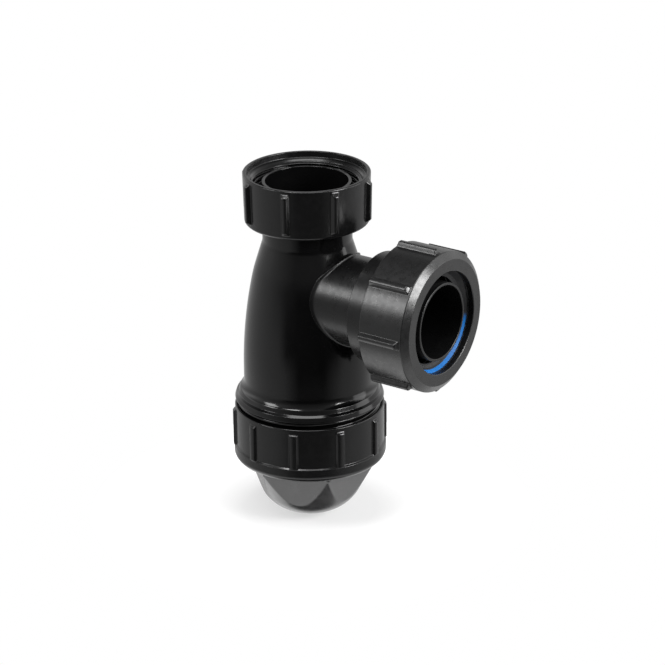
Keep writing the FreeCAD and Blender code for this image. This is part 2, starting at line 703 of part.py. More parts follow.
def make_cup():
    core = make_cup_core()
    body = new_body("cup")
    outside = [
        (AXIS, "cup_top_z"),
        ("cup_flange_radius", "cup_top_z"),
        ("cup_flange_radius", "cup_flange_z"),
        ("cup_radius", "cup_flange_z"),
        ("cup_radius", "cup_cone_z"),
        ("cup_cone_end_radius", "cup_cone_end_z", "cup_corner_arc", "right"),
        ("cup_crown", "cup_crown_z", "cup_crown_arc", "right"),
        (AXIS, "cup_bottom_z"),
    ]
    turned(body, "Revolution", "cup_outside", outside)
    flat = [
        ("flat_top", "flat_top_z"),
        ("flat_outside", "flat_top_z"),
        ("flat_outside", "flat_foot_z"),
        ("flat_foot", "flat_foot_z"),
    ]
    add_flats(body, "flat", flat)
    doc.recompute()
    inside = body.newObject("PartDesign::Boolean", "cup_inside")
    inside.Type = "Cut"
    inside.setObjects([core])
    body.Tip = inside
    doc.recompute()
    body.Placement = FreeCAD.Placement(
        FreeCAD.Vector(0, 0, 0),
        FreeCAD.Rotation(FreeCAD.Vector(0, 0, 1), size("cup_turn")),
    )
    return body


def make_base_seal():
    body = new_body("base_seal")
    section = [
        ("base_seal_bore", "base_seal_top_z"),
        ("base_seal_radius", "base_seal_top_z"),
        ("base_seal_radius", "cup_top_z"),
        ("base_seal_bore", "cup_top_z"),
    ]
    turned(body, "Revolution", "base_seal_ring", section)
    return body


fill_sheet()
parts = [
    make_trap_body(),
    make_inlet_washer(),
    make_inlet_nut(),
    make_outlet_nut(),
    make_outlet_slip_ring(),
    make_outlet_seal(),
    make_ring_nut(),
    make_cup(),
    make_base_seal(),
]
doc.recompute()

for item in doc.Objects:
    if "Invalid" in item.State or "Error" in item.State:
        raise RuntimeError(f"{item.Label} did not build: {item.State}")
for part in parts:
    if part.Shape.isNull() or not part.Shape.isValid() or len(part.Shape.Solids) != 1:
        raise RuntimeError(f"{part.Label} is not one valid solid")

os.makedirs("parts", exist_ok=True)
for part in parts:
    part.Shape.exportStep(f"parts/{part.Label}.step")
    box = part.Shape.BoundBox
    print(f"{part.Label}: volume {part.Shape.Volume:.0f} mm3, z {box.ZMin:.2f} to {box.ZMax:.2f}")
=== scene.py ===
import json
import math

import bmesh
import bpy
import numpy as np
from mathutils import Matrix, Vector

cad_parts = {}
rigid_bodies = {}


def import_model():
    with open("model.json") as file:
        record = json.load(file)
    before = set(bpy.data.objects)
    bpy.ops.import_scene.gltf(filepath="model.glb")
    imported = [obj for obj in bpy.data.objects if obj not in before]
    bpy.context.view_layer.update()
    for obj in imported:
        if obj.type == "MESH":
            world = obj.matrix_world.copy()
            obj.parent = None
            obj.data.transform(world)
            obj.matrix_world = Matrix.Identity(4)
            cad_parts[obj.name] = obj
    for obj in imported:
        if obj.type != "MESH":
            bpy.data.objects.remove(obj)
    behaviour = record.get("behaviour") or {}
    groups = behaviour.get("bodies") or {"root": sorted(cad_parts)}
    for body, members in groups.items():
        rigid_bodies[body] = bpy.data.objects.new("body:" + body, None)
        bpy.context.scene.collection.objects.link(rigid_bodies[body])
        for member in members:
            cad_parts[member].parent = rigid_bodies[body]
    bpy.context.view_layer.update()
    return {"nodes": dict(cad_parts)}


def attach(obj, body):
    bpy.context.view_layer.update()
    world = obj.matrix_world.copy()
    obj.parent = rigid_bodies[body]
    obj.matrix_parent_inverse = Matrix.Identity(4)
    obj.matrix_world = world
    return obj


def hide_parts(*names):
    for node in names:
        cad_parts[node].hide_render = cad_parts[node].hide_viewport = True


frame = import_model()
mm = 0.001
fullTurn = 2 * np.pi
# the height of the outlet's axis, in millimetres
outletZ = -42.5

# profiles and surfaces, in millimetres

# radians: the most that a fillet turns between two points, and the turn that makes a corner a real bend
filletStep, realBend = 0.26, 0.12
# millimetres: a bend's distance to its guard point, and the length from which an edge is divided
guardGap, dividedFrom = 0.12, 0.3


def softProfile(corners):
    # each corner is (x, y, fillet, step): straight edges joined by arcs of the fillet's radius,
    # the edge that leaves a corner is divided into steps, and an edge with a real bend at either
    # end has a guard point close to both ends, which keeps its shading flat
    points = np.array([corner[:2] for corner in corners], float)
    rows, exits, bends = [], [], []
    for i, (_, _, radius, step) in enumerate(corners):
        into = points[i] - points[i - 1]
        away = points[(i + 1) % len(points)] - points[i]
        into /= np.linalg.norm(into)
        away /= np.linalg.norm(away)
        turn = math.acos(np.clip(into @ away, -1, 1))
        if radius <= 0 or turn < 1e-4:
            rows.append(points[i][None])
        else:
            side = np.sign(into[0] * away[1] - into[1] * away[0])
            start = points[i] - into * (radius * math.tan(turn / 2))
            normal = np.array([-into[1], into[0]]) * side
            swing = np.linspace(0, turn, max(3, int(turn / filletStep) + 2))[:, None]
            rows.append(start + into * np.sin(swing) * radius + normal * (1 - np.cos(swing)) * radius)
        exits.append(step)
        bends.append(turn > realBend)
    line = []
    for i, row in enumerate(rows):
        line.append(row)
        following = (i + 1) % len(rows)
        start, end = row[-1], rows[following][0]
        length = np.linalg.norm(end - start)
        if length > dividedFrom:
            share = np.linspace(0, 1, max(2, int(length / exits[i]) + 1))[1:-1]
            if bends[i] or bends[following]:
                guard = min(guardGap / length, 0.3)
                kept = share[(share > guard * 1.5) & (share < 1 - guard * 1.5)]
                share = np.r_[guard, kept, 1 - guard]
            line.append(start + (end - start) * share[:, None])
    return np.concatenate(line)


def arcRun(start, end, count):
    # evenly spaced angles in radians, from degrees
    return np.radians(np.linspace(start, end, count))


def gridFaces(rows, columns, closedRows=True):
    # quads between neighbouring rows and columns: columns close round, rows where closedRows
    i, j = np.meshgrid(np.arange(rows if closedRows else rows - 1), np.arange(columns), indexing="ij")
    up, on = (i + 1) % rows, (j + 1) % columns
    quads = np.stack([i * columns + j, i * columns + on, up * columns + on, up * columns + j], -1)
    return quads.reshape(-1, 4)


def upright(radii, heights, angles):
    # radius and height turned round Z: x = r cos a, y = r sin a, z = h
    radii, heights, angles = np.broadcast_arrays(radii, heights, angles)
    return np.stack([radii * np.cos(angles), radii * np.sin(angles), heights], -1)


def alongOutlet(radii, places, angles):
    # radius and place turned round the outlet's axis, angles from straight up towards +Y
    radii, places, angles = np.broadcast_arrays(radii, places, angles)
    return np.stack([places, radii * np.sin(angles), outletZ + radii * np.cos(angles)], -1)


def eased(share):
    # 3 s^2 - 2 s^3: from 0 to 1, level at both ends
    return share * share * (3 - 2 * share)


def ramp(value, start, end):
    # from 0 at start to 1 at end, nearly straight, its two corners a little eased
    share = np.clip((value - start) / (end - start), 0, 1)
    return 0.6 * share + 0.4 * eased(share)


# half the width of a thread's ridge at its crest and at its foot, as shares of the pitch
crestHalf, footHalf = 0.09, 0.29


def threadRidge(places, angles, thread):
    # the crest moves one pitch along the places for each turn of the angles, and the ridge dies
    # out over fade at both ends: it is right-hand where the angles turn with the right hand about
    # the direction of the places
    wave = (places / thread["pitch"] - angles / fullTurn + thread["phase"]) % 1.0
    side = (footHalf - np.abs(wave - 0.5)) / (footHalf - crestHalf)
    ridge = eased(np.clip(side, 0, 1))
    starting = np.clip((places - thread["start"]) / thread["fade"], 0, 1)
    ending = np.clip((thread["end"] - places) / thread["fade"], 0, 1)
    return thread["crest"] * (ridge * starting * ending)


def volumeOf(vertices, quads):
    # six times the volume inside: signed tetrahedra from the origin to the halves of each quad
    a, b, c, d = (vertices[quads[:, k]] for k in range(4))
    return (np.einsum("ij,ij->i", a, np.cross(b, c)) + np.einsum("ij,ij->i", a, np.cross(c, d))).sum()


def makePiece(name, surface, quads, material, body, slotName, *nodes):
    # a closed surface in millimetres becomes a smooth mesh in metres, its faces turned outwards
    vertices = surface.reshape(-1, 3) * mm
    if volumeOf(vertices, quads) < 0:
        quads = quads[:, ::-1]
    mesh = bpy.data.meshes.new(name)
    mesh.vertices.add(len(vertices))
    mesh.vertices.foreach_set("co", vertices.astype(np.float32).ravel())
    mesh.loops.add(quads.size)
    mesh.loops.foreach_set("vertex_index", quads.astype(np.int32).ravel())
    mesh.polygons.add(len(quads))
    mesh.polygons.foreach_set("loop_start", np.arange(0, quads.size, 4, dtype=np.int32))
    mesh.update(calc_edges=True)
    work = bmesh.new()
    work.from_mesh(mesh)
    bmesh.ops.remove_doubles(work, verts=work.verts, dist=2e-7)
    work.to_mesh(mesh)
    work.free()
    mesh.polygons.foreach_set("use_smooth", np.ones(len(mesh.polygons), bool))
    mesh.materials.append(material)
    mesh.update()
    piece = bpy.data.objects.new(name, mesh)
    bpy.context.scene.collection.objects.link(piece)
    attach(piece, body)
    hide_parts(*nodes)
    print(f"{name}: {len(mesh.polygons)} faces")


# materials

# the sockets of a colour mix, whose names repeat
mixFactor, mixFirst, mixSecond, mixResult = 0, 6, 7, 2


def addNode(tree, kind, sockets, **settings):
    # sockets gives an input its value or another node's output, settings are the node's own
    node = tree.nodes.new("ShaderNode" + kind)
    for name, value in settings.items():
        setattr(node, name, value)
    for key, value in sockets.items():
        if isinstance(value, bpy.types.NodeSocket):
            tree.links.new(value, node.inputs[key])
        else:
            node.inputs[key].default_value = value
    return node


def plasticMaterial(name, look):
    # moulded plastic: two close tones in soft clouds, gloss that varies a little, a fine skin
    material = bpy.data.materials.new(name)
    material.use_nodes = True
    tree = material.node_tree
    shader = tree.nodes["Principled BSDF"]
    shader.inputs["IOR"].default_value = look["ior"]
    shader.inputs["Specular IOR Level"].default_value = 0.5
    place = addNode(tree, "TexCoord", {}).outputs["Object"]
    clouds, smears, skin = (
        addNode(tree, "TexNoise", {"Vector": place, "Scale": look[scale], "Detail": detail}).outputs["Fac"]
        for scale, detail in (("cloudScale", 4), ("smearScale", 5), ("skinScale", 3)))
    tones = addNode(tree, "ValToRGB", {"Fac": clouds})
    for element, position, tone in zip(tones.color_ramp.elements, (0.3, 0.7), ("dark", "light")):
        element.position = position
        element.color = (*look[tone], 1)
    smoothest, roughest = look["roughness"]
    gloss = addNode(tree, "MapRange", {
        "Value": smears, "From Min": 0.3, "From Max": 0.7, "To Min": smoothest, "To Max": roughest})
    fine = addNode(tree, "Bump", {"Height": skin, "Strength": look["skin"], "Distance": 0.05 * mm})
    waves = addNode(tree, "Bump", {
        "Height": smears, "Normal": fine.outputs["Normal"], "Strength": look["waves"], "Distance": 0.3 * mm})
    tree.links.new(tones.outputs["Color"], shader.inputs["Base Color"])
    tree.links.new(gloss.outputs["Result"], shader.inputs["Roughness"])
    tree.links.new(waves.outputs["Normal"], shader.inputs["Normal"])
    return material


bodyPlastic = plasticMaterial("glossyBlackMoulding", {
    "dark": (0.0020, 0.0020, 0.0021), "light": (0.0032, 0.0032, 0.0033), "ior": 1.46,
    "cloudScale": 60, "smearScale": 240, "skinScale": 2600,
    "roughness": (0.10, 0.16), "skin": 0.10, "waves": 0.05})
stubPlastic = plasticMaterial("satinBlackMoulding", {
    "dark": (0.003, 0.003, 0.0031), "light": (0.0045, 0.0045, 0.0047), "ior": 1.46,
    "cloudScale": 90, "smearScale": 300, "skinScale": 2400,
    "roughness": (0.25, 0.34), "skin": 0.12, "waves": 0.10})
nutPlastic = plasticMaterial("satinBlackNut", {
    "dark": (0.0022, 0.0022, 0.0023), "light": (0.0035, 0.0035, 0.0036), "ior": 1.48,
    "cloudScale": 90, "smearScale": 420, "skinScale": 2400,
    "roughness": (0.17, 0.26), "skin": 0.12, "waves": 0.10})
# the outlet nut's copy of the nut plastic: rougher, and its lighter colour is painted light that brightens
# this one nut
nutPlasticPaintedLighter = plasticMaterial("satinBlackNutPaintedLighter", {
    "dark": (0.0045, 0.0045, 0.0047), "light": (0.0065, 0.0065, 0.0067), "ior": 1.56,
    "cloudScale": 90, "smearScale": 420, "skinScale": 2400,
    "roughness": (0.25, 0.34), "skin": 0.12, "waves": 0.12})
cupPlastic = plasticMaterial("mattCup", {
    "dark": (0.024, 0.024, 0.0245), "light": (0.032, 0.032, 0.0325), "ior": 1.75,
    "cloudScale": 110, "smearScale": 300, "skinScale": 2200,
    "roughness": (0.20, 0.26), "skin": 0.15, "waves": 0.04})
ringPlastic = plasticMaterial("slipRingPlastic", {
    "dark": (0.035, 0.035, 0.037), "light": (0.05, 0.05, 0.052), "ior": 1.48,
    "cloudScale": 120, "smearScale": 300, "skinScale": 2400,
    "roughness": (0.3, 0.42), "skin": 0.15, "waves": 0.06})
blackRubber = plasticMaterial("blackRubber", {
    "dark": (0.012, 0.012, 0.012), "light": (0.022, 0.022, 0.022), "ior": 1.5,
    "cloudScale": 200, "smearScale": 500, "skinScale": 3000,
    "roughness": (0.45, 0.6), "skin": 0.3, "waves": 0.05})
blueRubber = plasticMaterial("sealRubber", {
    "dark": (0.004, 0.125, 0.42), "light": (0.007, 0.16, 0.50), "ior": 1.36,
    "cloudScale": 200, "smearScale": 500, "skinScale": 3000,
    "roughness": (0.38, 0.5), "skin": 0.25, "waves": 0.05})

# angles from straight up towards +Y about the outlet's axis; the seal is blue all round, and past the arc's
# edges and inward of the given radius its colour is a dark grey painted shade
blueArcWithPaintedShade = {
    "middle": 158, "half": 55, "fade": 5, "paintedShadeWithin": 21.8, "edge": 0.1, "paintedShade": (0.02, 0.02, 0.021),
}


def paintShadeOffArc(material, arc):
    # the blue shows on one arc of the seal's cone; past its edges and inward of the given radius the colour
    # turns to a dark grey painted shade
    tree = material.node_tree
    shader = tree.nodes["Principled BSDF"]
    blue = shader.inputs["Base Color"].links[0].from_socket
    place = addNode(tree, "TexCoord", {}).outputs["Object"]
    fromAxis = addNode(tree, "VectorMath", {0: place, 1: (0, 1, 1), 2: (0, 0, -outletZ * mm)},
                       operation="MULTIPLY_ADD").outputs[0]
    outward = addNode(tree, "VectorMath", {0: fromAxis}, operation="NORMALIZE").outputs[0]
    middle = math.radians(arc["middle"])
    near = addNode(tree, "VectorMath", {0: outward, 1: (0, math.sin(middle), math.cos(middle))},
                   operation="DOT_PRODUCT").outputs["Value"]
    onArc = addNode(tree, "MapRange", {
        "Value": near, "From Min": math.cos(math.radians(arc["half"] + arc["fade"])),
        "From Max": math.cos(math.radians(arc["half"] - arc["fade"]))}, interpolation_type="SMOOTHSTEP")
    far = addNode(tree, "VectorMath", {0: fromAxis}, operation="LENGTH").outputs["Value"]
    onCone = addNode(tree, "MapRange", {
        "Value": far, "From Min": (arc["paintedShadeWithin"] - arc["edge"]) * mm,
        "From Max": (arc["paintedShadeWithin"] + arc["edge"]) * mm}, interpolation_type="SMOOTHSTEP")
    both = addNode(tree, "Math", {0: onArc.outputs["Result"], 1: onCone.outputs["Result"]},
                   operation="MULTIPLY").outputs[0]
    # painted shade: dark grey replaces the blue wherever the seal stands in shadow
    mix = addNode(tree, "Mix", {mixFactor: both, mixFirst: (*arc["paintedShade"], 1), mixSecond: blue},
                  data_type="RGBA")
    tree.links.new(mix.outputs[mixResult], shader.inputs["Base Color"])


paintShadeOffArc(blueRubber, blueArcWithPaintedShade)

# the bell with its inlet tube, dip tube and threaded foot

bell = {
    "tube": 19.85, "rim": 8.5, "bore": 18.3, "mouthBore": 16.6, "wall": 1.55, "mouth": -134.5,
    "seat": 19.55, "seatTop": 0.0, "beadTop": -3.0, "bead": 21.4, "beadFoot": -6.0,
    "neck": -17.98, "neckBlend": 6.0, "coneAngle": 17.2, "shoulderArc": 60.0, "bellyArc": 213.0,
    "bellyAngle": 12.0, "belly": 29.3, "bellyFoot": -79.5, "bellyWall": 2.4,
    "flareTop": -84.1, "flareArc": 6.0, "flareAngle": 44.0,
    "ledge": [(31.05, -88.34, 1.2, 0.4), (31.75, -90.2, 0.4, 0.3), (32.8, -91.0, 0.35, 0.3)],
    "flange": 33.4, "flangeEdge": -92.75, "flangeFoot": -93.3,
    "thread": {"root": 30.8, "lead": 0.8, "innermost": 29.0, "crest": 1.4, "pitch": 4.0,
               "start": -111.9, "end": -92.9, "phase": 0.0, "fade": 1.2},
    "foot": -112.5, "footBore": 28.0, "footBoreTop": -96.3, "innerFoot": 26.9,
    "holeFrom": 20.6, "hole": 18.4, "columns": 264,
}


def bellSide(inset):
    # the bell's side from the neck down: a short arc and a long arc that run on from the neck's
    # cone, moved in by inset along their normal
    join = math.radians(bell["bellyAngle"])
    shoulder = bell["belly"] - bell["bellyArc"] * (1 - math.cos(join))
    shoulderZ = bell["bellyFoot"] + bell["bellyArc"] * math.sin(join)
    upper = arcRun(bell["coneAngle"], bell["bellyAngle"], 7)
    lower = arcRun(bell["bellyAngle"], 0, 34)[1:]
    turn = np.r_[upper, lower]
    radii = np.r_[shoulder - bell["shoulderArc"] * (math.cos(join) - np.cos(upper)),
                  bell["belly"] - bell["bellyArc"] * (1 - np.cos(lower))]
    heights = np.r_[shoulderZ + bell["shoulderArc"] * (np.sin(upper) - math.sin(join)),
                    bell["bellyFoot"] + bell["bellyArc"] * np.sin(lower)]
    return np.stack([radii - inset * np.cos(turn), heights - inset * np.sin(turn)], 1)


def boreAt(height):
    # the bore narrows evenly from the rim to the dip tube's mouth
    share = (bell["rim"] - height) / (bell["rim"] - bell["mouth"])
    return bell["bore"] + (bell["mouthBore"] - bell["bore"]) * share


def swell(radius, height, arc, angles, step):
    # corners of a wall that leaves the upright outwards along an arc
    return [(radius + arc * (1 - math.cos(a)), height - arc * math.sin(a), 0, step) for a in angles]


outerSide = bellSide(0)
innerSide = bellSide(bell["bellyWall"])
innerTop = innerSide[0, 1]
thread = bell["thread"]
bellLine = softProfile([
    (bell["tube"] - bell["wall"], bell["rim"], 0.25, 0.4), (bell["tube"], bell["rim"], 0.4, 2.0),
    (bell["tube"], bell["seatTop"], 0, 1), (bell["seat"], bell["seatTop"], 0, 1),
    (bell["seat"], bell["beadTop"], 0, 1), (bell["bead"], bell["beadTop"], 0.5, 0.8),
    (bell["bead"], bell["beadFoot"], 0.2, 0.8), (bell["tube"], bell["beadFoot"], 0.2, 1.2),
    *swell(bell["tube"], bell["neck"], bell["neckBlend"], arcRun(0, bell["coneAngle"], 7), 1.2),
    *[(r, z, 0, 1.3) for r, z in outerSide],
    *swell(bell["belly"], bell["flareTop"], bell["flareArc"], arcRun(0, bell["flareAngle"], 9)[:-1], 0.7),
    *bell["ledge"],
    (bell["flange"], bell["flangeEdge"], 0.2, 0.2), (bell["flange"], bell["flangeFoot"], 0.15, 0.5),
    (thread["root"], bell["flangeFoot"], 0.2, 0.32),
    (thread["root"], bell["foot"] + thread["lead"], 0.1, 0.4),
    (thread["root"] - thread["lead"], bell["foot"], 0.1, 0.6),
    (bell["footBore"], bell["foot"], 0.2, 1.5), (bell["footBore"], bell["footBoreTop"], 0, 1),
    (bell["innerFoot"], bell["flangeFoot"], 0, 1.5),
    *[(r, z, 0, 1.5) for r, z in innerSide[::-1]],
    (boreAt(innerTop) + bell["wall"], innerTop, 0.6, 12.0),
    (bell["mouthBore"] + bell["wall"], bell["mouth"], 0.3, 0.5),
    (bell["mouthBore"], bell["mouth"], 0.3, 12.0),
])
bellTurn = np.linspace(0, fullTurn, bell["columns"], endpoint=False)[None]
radii, heights = bellLine[:, :1], bellLine[:, 1:]
onFoot = (radii > thread["innermost"]) & (heights < bell["flangeFoot"] - 0.3) & (heights > bell["foot"])
bellGrid = upright(radii + threadRidge(heights, bellTurn, thread) * onFoot, heights, bellTurn)

# the hole where the outlet stub opens into the bell
quads = gridFaces(len(bellLine), bell["columns"])
middle = bellGrid.reshape(-1, 3)[quads].mean(1)
onBell = np.hypot(middle[:, 0], middle[:, 1]) > bell["holeFrom"]
inWay = np.hypot(middle[:, 1], middle[:, 2] - outletZ) < bell["hole"]
quads = quads[~(onBell & inWay & (middle[:, 0] > 0))]
makePiece("bellMoulding", bellGrid, quads, bodyPlastic, "trap", "body_plastic", "trap_body")

# the outlet stub, its step ring and socket, and the inner tube

stub = {
    "radius": 19.9, "bore": 16.3, "straightFrom": 30.0, "fillet": 0.9, "sink": 0.03, "boreSink": 0.05,
    "filletRows": [0, 0.06, 0.16, 0.3, 0.5, 0.75, 1.0], "stepStart": 37.2, "stepRise": 0.7,
    "socket": 24.8, "socketEnd": 50.5,
    "thread": {"root": 27.3, "rise": 2.5, "lead": 0.8, "innermost": 26.9, "crest": 1.3, "pitch": 4.0,
               "start": 52.9, "end": 63.6, "phase": 0.0, "fade": 1.2},
    "mouth": 64.0, "seat": 25.6, "seatStart": 60.3, "socketBore": 21.9, "socketFloor": 41.0,
    "innerTube": 17.5, "innerTubeEnd": 70.8, "columns": 240,
}
outletTurn = np.linspace(0, fullTurn, stub["columns"], endpoint=False)[None]


def meetsBell(radius, side):
    # where a tube of this radius along the outlet meets the bell's side: x from the bell's radius
    # at the point's height and its distance to the side
    height = outletZ + radius * np.cos(outletTurn)
    wall = np.interp(-height, -side[:, 1], side[:, 0])
    return np.sqrt(wall ** 2 - (radius * np.sin(outletTurn)) ** 2)


def allRound(column):
    # one value for each row, repeated all the way round the stub
    return np.repeat(column, stub["columns"], 1)


def nearest(line, x, y):
    # the index of the line's point that is closest to (x, y)
    return np.argmin(np.hypot(line[:, 0] - x, line[:, 1] - y))


thread = stub["thread"]
stubLine = softProfile([
    (stub["straightFrom"], stub["radius"], 0, 1.0),
    (stub["stepStart"], stub["radius"], 0.35, 0.5),
    (stub["stepStart"] + stub["stepRise"], stub["socket"], 0.4, 1.0),
    (stub["socketEnd"], stub["socket"], 0.3, 0.6),
    (stub["socketEnd"] + thread["rise"], thread["root"], 0.3, 0.4),
    (stub["mouth"] - thread["lead"], thread["root"], 0.2, 0.5),
    (stub["mouth"], thread["root"] - thread["lead"], 0.1, 0.5),
    (stub["mouth"], stub["seat"], 0.1, 0.8), (stub["seatStart"], stub["socketBore"], 0.2, 2.0),
    (stub["socketFloor"], stub["socketBore"], 0.4, 1.0), (stub["socketFloor"], stub["innerTube"], 0.4, 2.0),
    (stub["innerTubeEnd"], stub["innerTube"], 0.35, 0.3), (stub["innerTubeEnd"], stub["bore"], 0.3, 1.5),
    (stub["straightFrom"], stub["bore"], 0, 1.0),
])
stubLine = np.roll(stubLine, -nearest(stubLine, stub["straightFrom"], stub["radius"]), axis=0)
stubLine = stubLine[:nearest(stubLine, stub["straightFrom"], stub["bore"]) + 1]

# rows from the root fillet along the stub, round its section and back along the bore
depth = stub["fillet"] * np.array(stub["filletRows"])
rise = stub["fillet"] - np.sqrt(np.maximum(0, stub["fillet"] ** 2 - (stub["fillet"] - depth) ** 2))
rootRadius = (stub["radius"] + rise)[:, None]
rootX = meetsBell(rootRadius, outerSide) + depth[:, None] - stub["sink"]
share = np.linspace(0, 1, 12)[1:-1, None]
runX = np.maximum(rootX[-1:] * (1 - share) + stubLine[0, 0] * share, rootX[-1:])
share = np.linspace(0, 1, 6)[1:, None]
boreX = meetsBell(np.array([[stub["bore"]]]), innerSide) - stub["boreSink"]
backX = stubLine[-1, 0] * (1 - share) + boreX * share
places = np.concatenate([rootX, runX, allRound(stubLine[:, :1]), backX])
radii = np.concatenate([allRound(rootRadius), np.full_like(runX, stub["radius"]),
                        allRound(stubLine[:, 1:]), np.full_like(backX, stub["bore"])])
# the outlet's angles turn about -X, so this ridge comes out left-hand, unlike the one in its nut
onThread = ((radii > thread["innermost"]) & (places > thread["start"] + 0.2)
            & (places < stub["mouth"] - thread["lead"]))
stubGrid = alongOutlet(radii + threadRidge(places, outletTurn, thread) * onThread, places, outletTurn)
makePiece("outletStub", stubGrid, gridFaces(len(places), stub["columns"]),
          stubPlastic, "trap", "body_plastic", "trap_body")
print("body: done")

# the three nuts


def ribAngles(nut):
    # angles round a nut: fine across both edges of each rib, even in between
    half, edge, gap = nut["ribWidth"] / 2, nut["ribEdge"], 360 / nut["ribs"]
    across = np.array([-edge, -0.8 * edge, -0.5 * edge, 0, 0.5 * edge, 0.8 * edge, edge, edge + 0.3])
    local = np.r_[-(half + across[::-1]), 0, half + across]
    local = np.degrees(np.unique(np.round(local, 5)) / nut["ribBase"])
    count = max(3, int((gap - local[-1] + local[0]) / nut["spacing"]))
    one = np.r_[local, np.linspace(local[-1], gap + local[0], count)[1:-1]]
    return np.radians(np.concatenate([one + gap * k for k in range(nut["ribs"])]) + nut["turn"])


def nutGrid(nut):
    # a turned section: grip ribs lift its outer wall where both the height and the angle are in
    # a rib's window, and a helical ridge narrows its bore
    line = softProfile(nut["corners"])
    radii, heights, angles = np.broadcast_arrays(line[:, :1], line[:, 1:], ribAngles(nut)[None])
    gap = fullTurn / nut["ribs"]
    off = np.abs((angles - math.radians(nut["turn"]) + gap / 2) % gap - gap / 2) * nut["ribBase"]
    acrossRib = 1 - ramp(off, nut["ribWidth"] / 2 - nut["ribEdge"], nut["ribWidth"] / 2 + nut["ribEdge"])
    low, lowCap, highCap, high = nut["ribWindow"]
    alongRib = np.minimum(ramp(heights, low, lowCap), 1 - ramp(heights, highCap, high))
    lifted = nut["ribBase"] + nut["draft"] * heights + nut["proud"] * np.minimum(acrossRib, alongRib)
    outer = (radii > nut["ribBase"] - 0.8) & (heights > low) & (heights < high)
    radii = np.where(outer, np.maximum(radii, lifted), radii)
    thread = nut["thread"]
    inner = (radii < thread["bore"] + 0.3) & (heights > thread["start"]) & (heights < thread["end"])
    radii = radii - threadRidge(heights, angles, thread) * inner
    return radii, heights, angles, gridFaces(*radii.shape)


inletNut = {
    "corners": [
        (20.15, 0, 0.3, 1.5), (27.6, 0, 1.2, 0.5), (28.1, 22.5, 0.55, 0.5), (26.5, 22.5, 0.25, 0.4),
        (26.1, 19.9, 0.3, 0.3), (24.9, 19.5, 0.25, 0.3), (24.2, 18.9, 0.2, 0.16), (24.2, 6.8, 0.2, 1.0),
        (21.7, 6.8, 0.2, 1.0), (21.7, 3.8, 0.2, 1.0), (20.15, 3.8, 0.2, 1.0)],
    "ribs": 8, "ribWidth": 2.8, "ribBase": 27.6, "ribEdge": 0.6, "draft": 0.0222, "proud": 1.8,
    "ribWindow": (2.3, 3.0, 19.6, 21.3), "turn": 16.1, "spacing": 1.1, "foot": -9.9,
    "thread": {"bore": 24.2, "crest": 1.5, "pitch": 2.309, "start": 7.2, "end": 18.9,
               "phase": 0.0, "fade": 0.8},
}
radii, heights, angles, quads = nutGrid(inletNut)
makePiece("unionNut", upright(radii, heights + inletNut["foot"], angles), quads,
          nutPlastic, "inlet_union_nut", "nut_plastic", "inlet_nut")

# this phase leaves the crests an eighth of a pitch from the bell's, and not between them
ringNut = {
    "corners": [
        (30.1, 0, 0.2, 1.0), (34.3, 0, 3.0, 0.5), (34.3, 6.3, 0.25, 0.3), (33.6, 7.0, 0.3, 0.5),
        (33.6, 25.5, 0.5, 0.4), (32.5, 25.5, 0.2, 0.24), (32.5, 3.5, 0.2, 1.0), (30.1, 3.5, 0.2, 1.0)],
    "ribs": 10, "ribWidth": 3.6, "ribBase": 33.6, "ribEdge": 0.4, "draft": 0.0, "proud": 1.1,
    "ribWindow": (5.6, 6.6, 22.6, 23.4), "turn": 5.0, "spacing": 1.0, "foot": -122.0,
    "thread": {"bore": 32.5, "crest": 1.2, "pitch": 4.0, "start": 5.0, "end": 25.0,
               "phase": 0.375, "fade": 1.5},
}
radii, heights, angles, quads = nutGrid(ringNut)
makePiece("ringNut", upright(radii, heights + ringNut["foot"], angles), quads,
          nutPlastic, "base_ring", "nut_plastic", "ring_nut")

outletNut = {
    "corners": [
        (22.85, 0, 0.4, 0.5), (28.1, 0, 0.35, 0.5), (31.3, 2.3, 0.5, 0.45), (31.3, 23.7, 0.4, 0.5),
        (28.9, 23.7, 0.4, 0.3), (28.9, 2.8, 0.3, 0.8), (22.85, 2.8, 0.2, 0.6)],
    "ribs": 8, "ribWidth": 3.0, "ribBase": 31.3, "ribEdge": 0.55, "draft": 0.0, "proud": 2.0,
    "ribWindow": (3.3, 4.2, 22.9, 23.4), "turn": -1.5, "spacing": 1.1, "front": 72.415,
    "thread": {"bore": 28.9, "crest": 1.2, "pitch": 4.0, "start": 6.0, "end": 23.0,
               "phase": 0.0, "fade": 1.5},
}
radii, heights, angles, quads = nutGrid(outletNut)
# the outlet nut takes the lighter copy of the nut plastic, whose raised colour is painted light
makePiece("compressionNut", alongOutlet(radii, outletNut["front"] - heights, angles), quads,
          nutPlasticPaintedLighter, "outlet_clamp", "nut_plastic", "outlet_nut")
print("nuts: done")

# the slip ring and the blue seal behind it

slipRing = {"back": 68.815, "front": 69.515, "bore": 23.0, "radius": 28.4}
pipeSeal = {"corners": [
    (60.73, 21.9, 0.2, 0.8), (64.48, 25.65, 0.2, 0.8), (68.765, 25.65, 0.2, 0.8), (68.765, 22.95, 0.3, 0.4),
    (66.765, 21.1, 0.2, 0.4), (66.165, 19.3, 0.25, 0.4), (65.265, 19.3, 0.25, 0.6)]}
ringLine = softProfile([
    (slipRing["back"], slipRing["bore"], 0.15, 0.8), (slipRing["front"], slipRing["bore"], 0.2, 0.8),
    (slipRing["front"], slipRing["radius"], 0.2, 0.8), (slipRing["back"], slipRing["radius"], 0.15, 0.8)])
sealLine = softProfile(pipeSeal["corners"])
makePiece("slipRing", alongOutlet(ringLine[:, 1:], ringLine[:, :1], outletTurn),
          gridFaces(len(ringLine), stub["columns"]),
          ringPlastic, "outlet_rings", "ring_plastic", "outlet_slip_ring")
makePiece("pipeSeal", alongOutlet(sealLine[:, 1:], sealLine[:, :1], outletTurn),
          gridFaces(len(sealLine), stub["columns"]),
          blueRubber, "outlet_rings", "blue_rubber", "outlet_seal")
print("outlet rings: done")

# the cup: a turned form cut by six leaning flats, the same inside

